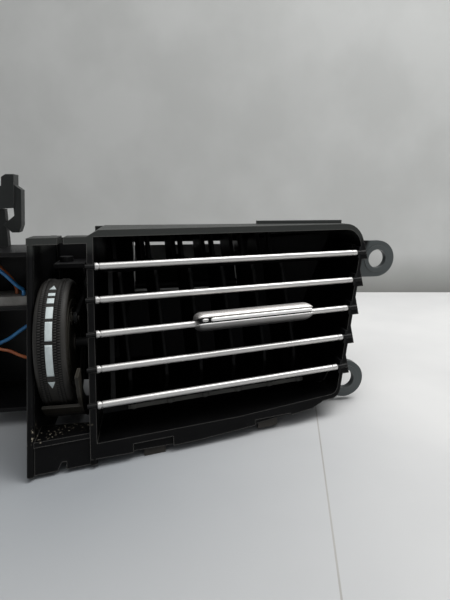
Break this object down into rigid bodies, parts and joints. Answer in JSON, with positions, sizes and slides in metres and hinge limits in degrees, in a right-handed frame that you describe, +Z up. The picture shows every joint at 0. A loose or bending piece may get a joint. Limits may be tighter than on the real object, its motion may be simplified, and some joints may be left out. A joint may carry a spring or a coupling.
{
  "type": "dashboard air vent",
  "caption": "Car dashboard air vent with tilting slats behind satin bars, upright vanes steered by a sliding tab, a ribbed thumbwheel that works a shut-off flap, and screw ears.",
  "frame": {"origin": "middle of the upper screw ear's hole", "axes": "+X to the right along the vent, +Y back into the dashboard, +Z up"},
  "size_m": [0.2043, 0.15, 0.1092],
  "materials": {
    "housing_plastic": "moulded black, light grain",
    "clip_plastic": "moulded, slightly brown",
    "duct_plastic": "moulded black",
    "foam": "closed-cell foam",
    "screw_steel": "bright",
    "vane_plastic": "satin black",
    "bar_silver": "satin",
    "tab_silver": "satin",
    "strip_dark": "satin",
    "wheel_plastic": "satin",
    "tyre_rubber": "ribbed",
    "mark_white": "translucent white",
    "axle_steel": "bright",
    "flap_plastic": "satin",
    "seal_foam": "open foam",
    "shaft_metal": "satin",
    "link_plastic": "satin",
    "connector_plastic": "dusty",
    "bracket_plastic": "moulded black",
    "wire_blue_skin": "glossy",
    "wire_orange_skin": "glossy"
  },
  "bodies": {
    "housing": {"vent_housing": "housing_plastic", "lower_clips": "clip_plastic", "pivot_clips": "vane_plastic", "rear_duct": "duct_plastic", "duct_seal": "foam", "duct_screws": "screw_steel", "vane_rail_top": "vane_plastic", "vane_rail_bottom": "vane_plastic", "wheel_axle": "axle_steel", "wheel_guard": "wheel_plastic", "lamp_holder": "wheel_plastic", "linkage_cover": "duct_plastic", "centre_box": "housing_plastic", "box_connector": "connector_plastic", "socket_bracket": "bracket_plastic", "wire_blue": "wire_blue_skin", "wire_orange": "wire_orange_skin"},
    "vane_1": {"vane_blade_1": "vane_plastic", "vane_trim_1": "bar_silver"},
    "vane_2": {"vane_blade_2": "vane_plastic", "vane_trim_2": "bar_silver"},
    "vane_3": {"vane_blade_3": "vane_plastic", "vane_trim_3": "bar_silver"},
    "vane_4": {"vane_blade_4": "vane_plastic", "vane_trim_4": "bar_silver"},
    "vane_5": {"vane_blade_5": "vane_plastic", "vane_trim_5": "bar_silver"},
    "vane_link_bar": {"vane_link": "link_plastic"},
    "tab": {"tab_upper": "tab_silver", "tab_lower": "tab_silver", "tab_strip": "strip_dark", "tab_fork": "vane_plastic"},
    "air_1": {"air_vane_1": "vane_plastic"},
    "air_2": {"air_vane_2": "vane_plastic"},
    "air_3": {"air_vane_3": "vane_plastic"},
    "air_4": {"air_vane_4": "vane_plastic"},
    "air_5": {"air_vane_5": "vane_plastic"},
    "air_6": {"air_vane_6": "vane_plastic"},
    "air_link_bar": {"air_vane_link": "link_plastic"},
    "wheel": {"wheel_hub": "wheel_plastic", "wheel_tyre": "tyre_rubber", "wheel_marks": "mark_white"},
    "flap": {"damper_flap": "flap_plastic", "flap_seal": "seal_foam", "flap_shaft": "shaft_metal"},
    "link_rod": {"flap_link": "link_plastic"}
  },
  "joints": [
    {"name": "vane_tilt", "type": "hinge", "parent": "housing", "child": "vane_3", "pos_m": [-0.139, -0.0445, -0.021], "axis": [0.9781, 0.2079, 0], "range_deg": [-25, 25]},
    {"name": "vane_1_tilt", "type": "hinge", "parent": "housing", "child": "vane_1", "pos_m": [-0.14093, -0.03541, 0.00427], "axis": [0.9781, 0.2079, 0], "range_deg": [-25, 25]},
    {"name": "vane_2_tilt", "type": "hinge", "parent": "housing", "child": "vane_2", "pos_m": [-0.13997, -0.03996, -0.00837], "axis": [0.9781, 0.2079, 0], "range_deg": [-25, 25]},
    {"name": "vane_4_tilt", "type": "hinge", "parent": "housing", "child": "vane_4", "pos_m": [-0.13803, -0.04904, -0.03363], "axis": [0.9781, 0.2079, 0], "range_deg": [-25, 25]},
    {"name": "vane_5_tilt", "type": "hinge", "parent": "housing", "child": "vane_5", "pos_m": [-0.13707, -0.05359, -0.04627], "axis": [0.9781, 0.2079, 0], "range_deg": [-25, 25]},
    {"name": "vane_link_swing", "type": "hinge", "parent": "vane_1", "child": "vane_link_bar", "pos_m": [-0.13371, -0.02332, 0.00047], "axis": [0.9781, 0.2079, 0], "range_deg": [-25, 25]},
    {"name": "tab_slide", "type": "slide", "parent": "vane_3", "child": "tab", "axis": [0.9781, 0.2079, 0], "range_m": [-0.00493, 0.00493]},
    {"name": "air_1_swing", "type": "hinge", "parent": "housing", "child": "air_1", "pos_m": [-0.13018, -0.01768, -0.02997], "axis": [-0.0717, 0.3375, 0.9386], "range_deg": [-28.1, 28.1]},
    {"name": "air_2_swing", "type": "hinge", "parent": "housing", "child": "air_2", "pos_m": [-0.11453, -0.01435, -0.02997], "axis": [-0.0717, 0.3375, 0.9386], "range_deg": [-28.1, 28.1]},
    {"name": "air_3_swing", "type": "hinge", "parent": "housing", "child": "air_3", "pos_m": [-0.09888, -0.01103, -0.02997], "axis": [-0.0717, 0.3375, 0.9386], "range_deg": [-28.1, 28.1]},
    {"name": "air_4_swing", "type": "hinge", "parent": "housing", "child": "air_4", "pos_m": [-0.08323, -0.0077, -0.02997], "axis": [-0.0717, 0.3375, 0.9386], "range_deg": [-28.1, 28.1]},
    {"name": "air_5_swing", "type": "hinge", "parent": "housing", "child": "air_5", "pos_m": [-0.06758, -0.00437, -0.02997], "axis": [-0.0717, 0.3375, 0.9386], "range_deg": [-28.1, 28.1]},
    {"name": "air_6_swing", "type": "hinge", "parent": "housing", "child": "air_6", "pos_m": [-0.05193, -0.00104, -0.02997], "axis": [-0.0717, 0.3375, 0.9386], "range_deg": [-28.1, 28.1]},
    {"name": "air_link_swing", "type": "hinge", "parent": "air_1", "child": "air_link_bar", "pos_m": [-0.12813, -0.02732, -0.02635], "axis": [-0.0717, 0.3375, 0.9386], "range_deg": [-28.1, 28.1]},
    {"name": "wheel_turn", "type": "hinge", "parent": "housing", "child": "wheel", "pos_m": [-0.139, -0.028, -0.0288], "axis": [1, 0, 0], "range_deg": [-57, 26]},
    {"name": "flap_swing", "type": "hinge", "parent": "housing", "child": "flap", "pos_m": [-0.139, 0.0505, -0.0196], "axis": [1, 0, 0], "range_deg": [-57, 26]},
    {"name": "link_rod_swing", "type": "hinge", "parent": "wheel", "child": "link_rod", "pos_m": [-0.139, -0.03171, -0.01739], "axis": [1, 0, 0], "range_deg": [-26, 57]}
  ],
  "couplings": [
    {"joint": "vane_1_tilt", "follows": "vane_tilt", "ratio": 1},
    {"joint": "vane_2_tilt", "follows": "vane_tilt", "ratio": 1},
    {"joint": "vane_4_tilt", "follows": "vane_tilt", "ratio": 1},
    {"joint": "vane_5_tilt", "follows": "vane_tilt", "ratio": 1},
    {"joint": "vane_link_swing", "follows": "vane_tilt", "ratio": -1},
    {"joint": "air_1_swing", "follows": "tab_slide", "rad_per_m": 99.14},
    {"joint": "air_2_swing", "follows": "tab_slide", "rad_per_m": 99.14},
    {"joint": "air_3_swing", "follows": "tab_slide", "rad_per_m": 99.14},
    {"joint": "air_4_swing", "follows": "tab_slide", "rad_per_m": 99.14},
    {"joint": "air_5_swing", "follows": "tab_slide", "rad_per_m": 99.14},
    {"joint": "air_6_swing", "follows": "tab_slide", "rad_per_m": 99.14},
    {"joint": "air_link_swing", "follows": "tab_slide", "rad_per_m": -99.14},
    {"joint": "flap_swing", "follows": "wheel_turn", "ratio": 1},
    {"joint": "link_rod_swing", "follows": "wheel_turn", "ratio": -1}
  ]
}
